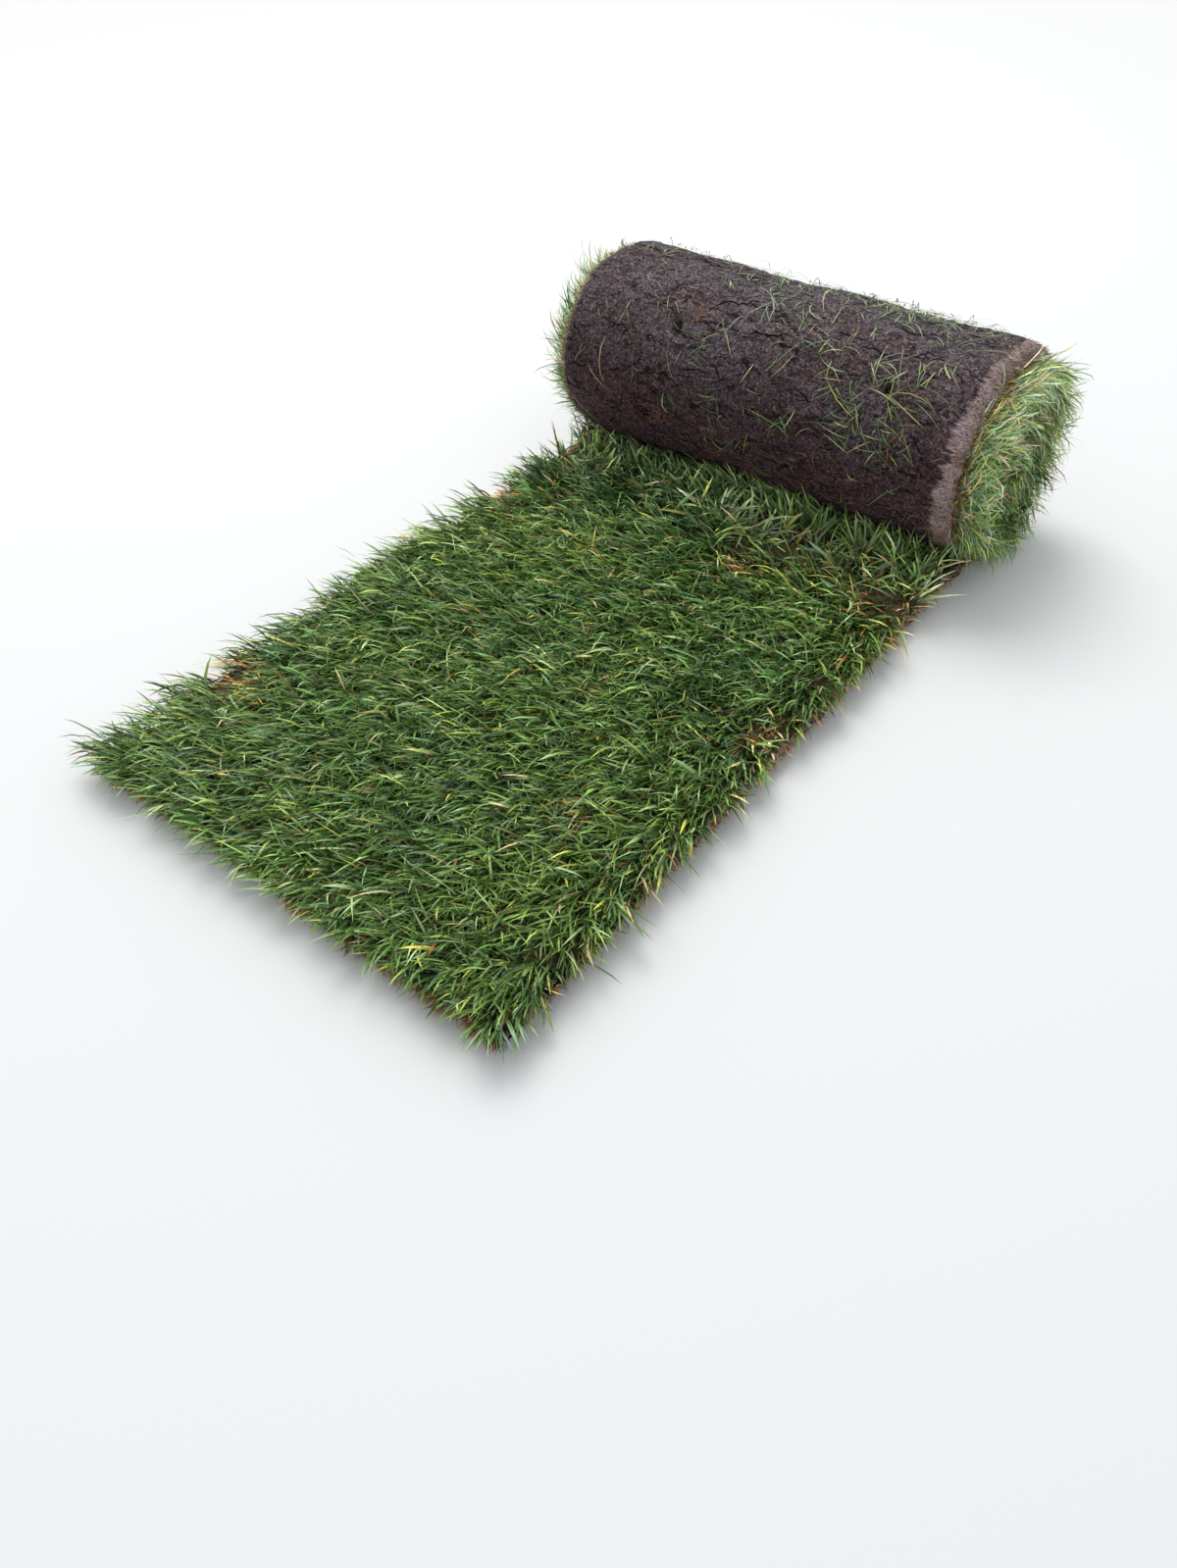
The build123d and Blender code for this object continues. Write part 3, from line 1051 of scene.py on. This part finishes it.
def cut_end_fibres(material):
    """Roots and dead sheaths that hang out of the strip's cut end."""
    for name, count, low, high, sheaths, kinds, width in (
        ("cut_end_roots", 3800, 0.001, SOIL, False, ROOTS, CUT_ROOT_WIDTH),
        ("cut_end_sheaths", 2000, SOIL - 0.004, SOIL + 0.001, True, DEAD, SHEATH_WIDTH),
    ):
        x = MIDDLE_X + rng.uniform(-HALF_WIDTH, HALF_WIDTH, count)
        spots = np.column_stack([x, np.full(count, CUT_END_Y), rng.uniform(low, high, count)])
        roots = spots + np.array([0, 1, 0]) * (cut_end_shift(spots) + 0.0006)[:, None]
        aside = rng.normal(0, 0.6, (2, count))
        first = np.column_stack([aside[0], np.full(count, -1.0), rng.uniform(-0.5, 0.3, count)])
        last = np.column_stack([aside[1], np.full(count, -0.7), rng.uniform(-1.3, 0.1, count)])
        lines = fibre_lines(roots, first, last, sheaths)
        flat_way = unit(rng.normal(0, 0.6, (count, 3)) + np.array([0, -0.4, 1.0]))
        widths = rng.uniform(0.7, 1.5, count) * width
        colours = pick_colours(count, kinds) * 0.8
        grow(name, lines, widths, colours, flat_way, material, foot=0, blank=FIBRE)


# What lies on the roll's soil

LAID_HEIGHT = 0.0010     # clippings and hairs lie this far out of the soil
TURN_MARGIN = 0.004      # nothing is laid nearer to the ends of the outer turn


def flat_step(heading, length):
    """A step of this length in the unrolled surface."""
    return np.stack([np.cos(heading), np.sin(heading)], 1) * length[:, None]


def wrapped(flat, height):
    """Points of the unrolled surface laid round the roll at a height, and the way inwards there."""
    along = flat[..., 1].clip(TURN_MARGIN, OUTER_TURN - TURN_MARGIN)
    place, _, inward = on_strip(along, -height)
    return np.concatenate([flat[..., :1] + MIDDLE_X, place], 2), inward


def laid_lines(x, along, heading, lengths, bend, lift):
    """Lines that lie on the roll's soil, drawn in its own surface and then wrapped round it."""
    flat = np.zeros((len(x), BLADE_ROWS + 1, 2))
    flat[:, 0] = np.column_stack([x, along])
    for part in range(BLADE_ROWS):
        turned = heading + bend * (part + 0.5) / BLADE_ROWS
        flat[:, part + 1] = flat[:, part] + flat_step(turned, lengths / BLADE_ROWS)
    height = LAID_HEIGHT + lift[:, None] * np.sin(np.linspace(0, math.pi, BLADE_ROWS + 1))
    flat[..., 0] = np.clip(flat[..., 0], -HALF_WIDTH + 0.002, HALF_WIDTH + 0.012)
    lines, inward = wrapped(flat, height)
    return lines, in_space(-inward[:, 0])


# Where clippings lie on the roll: x from its middle, degrees up its front, spread and how many
CLIPPING_HEAPS = (
    (-0.031, 92, 0.020, 14), (-0.001, 73, 0.014, 16), (0.038, 63, 0.016, 26), (0.020, 84, 0.018, 14),
    (0.085, 50, 0.013, 22), (0.100, 31, 0.015, 24), (0.120, 40, 0.016, 24), (0.138, 28, 0.015, 22),
    (0.150, 22, 0.012, 10), (0.166, 71, 0.013, 18), (0.037, 20, 0.010, 8), (0.124, 6, 0.014, 12),
    (-0.038, 45, 0.010, 6), (-0.024, 4, 0.010, 6), (-0.095, 44, 0.008, 7), (-0.150, 40, 0.015, 4),
    (0.006, 21, 0.010, 6), (-0.140, 12, 0.012, 6), (0.060, -4, 0.016, 10), (-0.060, 8, 0.014, 6),
)
SHEAF = 3                # clippings in a sheaf
RIDGE_SHEAVES = 120      # sheaves along the top of the roll
STRAY_SHEAVES = 55
CLIPPING_LENGTH = (0.018, 0.45, 0.006, 0.045)


def clippings(material):
    """Mown clippings in loose heaps of little sheaves on the roll, thickest along its top, and strays."""
    heaps = np.array(CLIPPING_HEAPS)
    heaped = np.repeat(heaps, np.maximum(heaps[:, 3] / SHEAF, 1).astype(int), 0)
    at_right = rng.random(RIDGE_SHEAVES) < 0.45
    ridge_x = np.where(at_right, rng.normal(0.10, 0.035, RIDGE_SHEAVES),
                       rng.uniform(-0.185, 0.190, RIDGE_SHEAVES))
    scatter = rng.normal(0, 1, (2, len(heaped))) * heaped[:, 2]
    stray_x = rng.uniform(-0.19, 0.19, STRAY_SHEAVES)
    ridge_along = round_front(rng.normal(101, 7, RIDGE_SHEAVES))
    stray_along = rng.uniform(0.07, OUTER_TURN - 0.02, STRAY_SHEAVES)
    sheaf_x = np.concatenate([heaped[:, 0] + scatter[0], ridge_x, stray_x])
    sheaf_along = np.concatenate([round_front(heaped[:, 1]) + scatter[1], ridge_along, stray_along])

    count = len(sheaf_x) * SHEAF
    x = np.repeat(sheaf_x, SHEAF) + rng.normal(0, 0.0050, count)
    along = np.repeat(sheaf_along, SHEAF) + rng.normal(0, 0.0050, count)
    heading = np.repeat(rng.uniform(0, 2 * math.pi, len(sheaf_x)), SHEAF) + rng.normal(0, 0.55, count)
    sheaf = np.repeat(np.arange(len(sheaf_x)), SHEAF)
    on_ridge = (sheaf >= len(heaped)) & (sheaf < len(heaped) + RIDGE_SHEAVES)
    lengths = about(count, *CLIPPING_LENGTH) * np.where(on_ridge, 0.75, 1)
    bend = rng.normal(0, 0.6, count)
    lift = rng.exponential(0.0018, count).clip(0, 0.008)
    lines, outside = laid_lines(x, along, heading, lengths, bend, lift)
    widths = about(count, *CLIPPING_WIDTH)
    grow("clippings", lines, widths, pick_colours(count, CUT) * 1.05, outside, material, twist=0.6, foot=0)


def root_hairs(material, count):
    """Single root hairs scattered over the roll."""
    x = rng.uniform(-0.195, 0.195, count)
    along = rng.uniform(0.07, OUTER_TURN - 0.01, count)
    heading = rng.uniform(0, 2 * math.pi, count)
    lengths = rng.uniform(0.004, 0.019, count)
    bend = rng.normal(0, 1.8, count)
    lift = rng.exponential(0.0010, count).clip(0, 0.004)
    lines, outside = laid_lines(x, along, heading, lengths, bend, lift)
    widths = rng.uniform(0.00025, 0.00050, count)
    colours = pick_colours(count, ROOTS) * 0.62
    grow("root_hairs", lines, widths, colours, outside, material, twist=0.5, foot=0)


# The two rusty spots by the left hole: x from the middle and degrees up the roll's front
UPPER_SPOT = (-0.070, 55)
LOWER_SPOT = (-0.086, -10)


def rusty_fibres(material, count):
    """Rusty fibres in two small spots on the roll's front."""
    upper = rng.random(count) < 0.6
    x = np.where(upper, UPPER_SPOT[0], LOWER_SPOT[0]) + rng.normal(0, 0.0042, count)
    along = round_front(np.where(upper, UPPER_SPOT[1], LOWER_SPOT[1])) + rng.normal(0, 0.0032, count)
    heading = rng.uniform(0, 2 * math.pi, count)
    lengths = rng.uniform(0.002, 0.006, count)
    bend = rng.normal(0, 1.5, count)
    lift = rng.uniform(0.0004, 0.0020, count)
    lines, outside = laid_lines(x, along, heading, lengths, bend, lift)
    colours = np.tile(RUSTY, (count, 1)) * rng.uniform(0.4, 1.3, (count, 1))
    widths = rng.uniform(0.00025, 0.00055, count)
    grow("rusty_fibres", lines, widths, colours, outside, material, twist=0.5, foot=0)


# Cracks in the roll's soil, as slivers of painted shade

CRACK_SLIVER = blade_blank(CRACK_ROWS)
CRACK_HALF_LENGTH = (0.0085, 0.50, 0.003, 0.028)
CRACK_LIFT = 0.00022     # the slivers lie this far out of the soil's face
CRACK_SLIVER_SHADE_GREY = 0.006


def resting_on(outer_turn, lines, height):
    """Move points onto the real face of the soil, and then out of it by their height."""
    face = BVHTree.FromObject(outer_turn, bpy.context.evaluated_depsgraph_get())
    rested = np.empty((lines.shape[0] * lines.shape[1], 3))
    outwards = np.empty_like(rested)
    for number, point in enumerate(lines.reshape(-1, 3)):
        place, normal, _, _ = face.find_nearest(Vector(point))
        rested[number] = place
        outwards[number] = normal
    rested += outwards * height
    return rested.reshape(lines.shape), outwards.reshape(lines.shape)


def soil_crack_shade(outer_turn, material, count):
    """Painted shade of short cracks that wander along the roll, each as two dark slivers that start at its
    middle.
    """
    x = rng.uniform(-0.192, 0.182, count)
    along = rng.uniform(0.03, OUTER_TURN - 0.012, count)
    leaning = rng.normal(0, 0.32, count)
    half_length = about(count, *CRACK_HALF_LENGTH)
    widths = 0.00060 + 0.045 * half_length * rng.uniform(0.4, 1.3, count)
    halves = []
    for way in (0, math.pi):
        line = np.zeros((count, CRACK_ROWS + 1, 2))
        line[:, 0] = np.column_stack([x, along])
        for part in range(CRACK_ROWS):
            turned = way + leaning + rng.normal(0, 0.62, count)
            line[:, part + 1] = line[:, part] + flat_step(turned, half_length / CRACK_ROWS)
        halves.append(line)
    flat = np.concatenate(halves)
    flat[..., 0] = flat[..., 0].clip(-HALF_WIDTH + 0.003, HALF_WIDTH - 0.003)
    lines, _ = wrapped(flat, 0)
    lines, outwards = resting_on(outer_turn, lines, CRACK_LIFT)
    # Near-black painted shade for the slivers
    colours = np.full((2 * count, 3), CRACK_SLIVER_SHADE_GREY)
    grow("soil_crack_shade", lines, np.tile(widths, 2), colours, outwards[:, CRACK_ROWS // 2], material,
         twist=0, foot=0, blank=CRACK_SLIVER, node_and_slot=SOIL_NODE)


# Thatch

THATCH_GAP = 0.0006      # the pressed thatch ends this far from the next turn
THATCH_HEIGHT = 0.0042   # how high it is on the free end, and how uneven
THATCH_RELIEF = 0.0032


def thatch_pieces(material):
    """The matted base under the blades, on the free end and between the turns."""
    pressed = swept_turns("pressed_thatch", SOIL, PRESSED_GRASS - THATCH_GAP, 0, len(TURNS) - 1,
                          cuts=(11, 11, 0), arc_step=0.008, finer=1)
    corners = corners_of(pressed)
    across = corners[:, 0] - MIDDLE_X
    frayed = Relief(23).rough(corners, 0.010, 3) * 0.003 * (np.abs(across) > HALF_WIDTH - 0.001)
    corners[:, 0] = telescoped(corners[:, 0] + np.sign(across) * frayed, corners[:, 1], corners[:, 2])
    move_corners(pressed, corners)
    finish_piece(pressed, material, GRASS_NODE)

    deselect_all()
    bpy.ops.mesh.primitive_grid_add(x_subdivisions=100, y_subdivisions=140, size=1)
    base = bpy.context.object
    base.name = base.data.name = "sward_base"
    corners = corners_of(base)
    corners[:, 0] = MIDDLE_X + corners[:, 0] * (STRIP_WIDTH - 0.003)
    corners[:, 1] = CUT_END_Y + 0.001 + (corners[:, 1] + 0.5) * (FRONT_Y - 0.012 - CUT_END_Y)
    from_edge = np.minimum(HALF_WIDTH - np.abs(corners[:, 0] - MIDDLE_X), corners[:, 1] - CUT_END_Y)
    rise = np.clip(from_edge / 0.010, 0, 1)
    corners[:, 2] = SOIL + rise * (THATCH_HEIGHT + THATCH_RELIEF * Relief(17).rough(corners, 0.014, 3))
    move_corners(base, corners)
    finish_piece(base, material, GRASS_NODE)


# Camera, floor and light

FLOOR_SIZE = 60
FLOOR_COLOUR = (0.80, 0.80, 0.79)
SHOWN_WHITE = (0.8, 3.2)   # the floor turns plain white between these distances from its middle
RAMP_REACH = 10            # a ramp reads 0 to 1, so it is given distances in units of this
SKY_COLOUR = (0.93, 0.96, 1.0)
SKY_STRENGTH = 0.72
LAMP_PLACE = (-1.25, 0.97, 3.05)
LAMP_SIZE = 2.1
LAMP_POWER = 78


def photo_camera():
    """The photograph's heading, pitch, roll and lens, a little further off so that all of it shows."""
    heading, pitch, tilt = (math.radians(angle) for angle in (39.75, 45.07, 2.03))
    focal_pixels, tall_pixels, sensor = 1174.5, 1599, 36

    # From the middle of the roll to where the photograph was taken, and a fifth further off
    aim = Vector((0.0, 0.25, 0.10))
    sight = Vector((0.398, -0.710, 0.414))
    further = 1.21
    camera = bpy.data.objects.new("camera", bpy.data.cameras.new("camera"))
    bpy.context.scene.collection.objects.link(camera)
    camera.data.sensor_width = sensor
    camera.data.lens = focal_pixels / tall_pixels * sensor
    look = Matrix.Rotation(heading, 4, "Z") @ Matrix.Rotation(math.pi / 2 - pitch, 4, "X")
    camera.matrix_world = Matrix.Translation(aim + sight * further) @ look @ Matrix.Rotation(-tilt, 4, "Z")
    bpy.context.scene.camera = camera


def for_backdrop(tree):
    """1 where the camera looks, also by way of gloss or glass, and 0 for the light that falls on the roll."""
    path = tree.nodes.new("ShaderNodeLightPath")
    seen = maths(tree, "MAXIMUM", path.outputs["Is Camera Ray"], path.outputs["Is Glossy Ray"])
    return maths(tree, "MAXIMUM", seen, path.outputs["Is Transmission Ray"])


def shown_white(tree, share, lit, output):
    """Show plain white instead of the lit shader, by the share."""
    white = tree.nodes.new("ShaderNodeEmission")
    either = tree.nodes.new("ShaderNodeMixShader")
    tree.links.new(share, either.inputs[0])
    tree.links.new(lit, either.inputs[1])
    tree.links.new(white.outputs[0], either.inputs[2])
    tree.links.new(either.outputs[0], output.inputs["Surface"])


def pale_floor():
    """A pale floor that keeps the roll's shadow and turns plain white further off."""
    deselect_all()
    bpy.ops.mesh.primitive_plane_add(size=FLOOR_SIZE, location=(0, 0, 0))
    floor = bpy.context.object
    floor.name = "floor"
    material, tree, shader = new_material("pale_floor", 0.85, 0.3)
    connect(tree, FLOOR_COLOUR, shader.inputs["Base Color"])
    away = tree.nodes.new("ShaderNodeVectorMath")
    away.operation = "LENGTH"
    tree.links.new(object_place(tree), away.inputs[0])
    distance = maths(tree, "MULTIPLY", away.outputs["Value"], 1 / RAMP_REACH)
    far_off = ramp(tree, distance, *(edge / RAMP_REACH for edge in SHOWN_WHITE))
    share = maths(tree, "MULTIPLY", far_off, for_backdrop(tree))
    shown_white(tree, share, shader.outputs[0], tree.nodes["Material Output"])
    floor.data.materials.append(material)


def soft_light():
    """An even sky, which the camera sees as plain white, and one large soft lamp overhead."""
    world = bpy.data.worlds.new("soft_sky")
    bpy.context.scene.world = world
    world.use_nodes = True
    tree = world.node_tree
    sky = tree.nodes["Background"]
    connect(tree, SKY_COLOUR, sky.inputs["Color"])
    sky.inputs["Strength"].default_value = SKY_STRENGTH
    shown_white(tree, for_backdrop(tree), sky.outputs[0], tree.nodes["World Output"])

    bpy.ops.object.light_add(type="AREA", location=LAMP_PLACE)
    lamp = bpy.context.object
    lamp.name = "soft_top"
    lamp.data.size = LAMP_SIZE
    lamp.data.energy = LAMP_POWER
    lamp.rotation_euler = (Vector((0, 0, 0.05)) - lamp.location).to_track_quat("-Z", "Y").to_euler()
    bpy.context.scene.view_settings.view_transform = "Standard"


photo_camera()
pale_floor()
soft_light()
outer_turn = soil_pieces(soil_material())
thatch_pieces(thatch_material())
blades = blade_material()
LOW = (MIDDLE_X - HALF_WIDTH + 0.002, CUT_END_Y + 0.001)
HIGH = (MIDDLE_X + HALF_WIDTH - 0.002, NIP_Y)
# The under layer is painted darker, as painted shade beneath the upper layers, which are painted lighter
sward("sward_under", blades, 21000, LOW, HIGH, length_share=0.66, shade=0.42, upright=0.22)
sward("sward_left", blades, 20500, LOW, (MIDDLE_X, NIP_Y), length_share=1.0, shade=1.27, upright=0.0)
sward("sward_right", blades, 20500, (MIDDLE_X, LOW[1]), HIGH, length_share=1.0, shade=1.27, upright=0.0)
nip_blades(blades, 4800)
end_tufts(blades)
edge_fibres(blades)
clippings(blades)
root_hairs(blades, 760)
rusty_fibres(blades, 230)
cut_end_fibres(blades)
soil_crack_shade(outer_turn, crack_material(), 430)
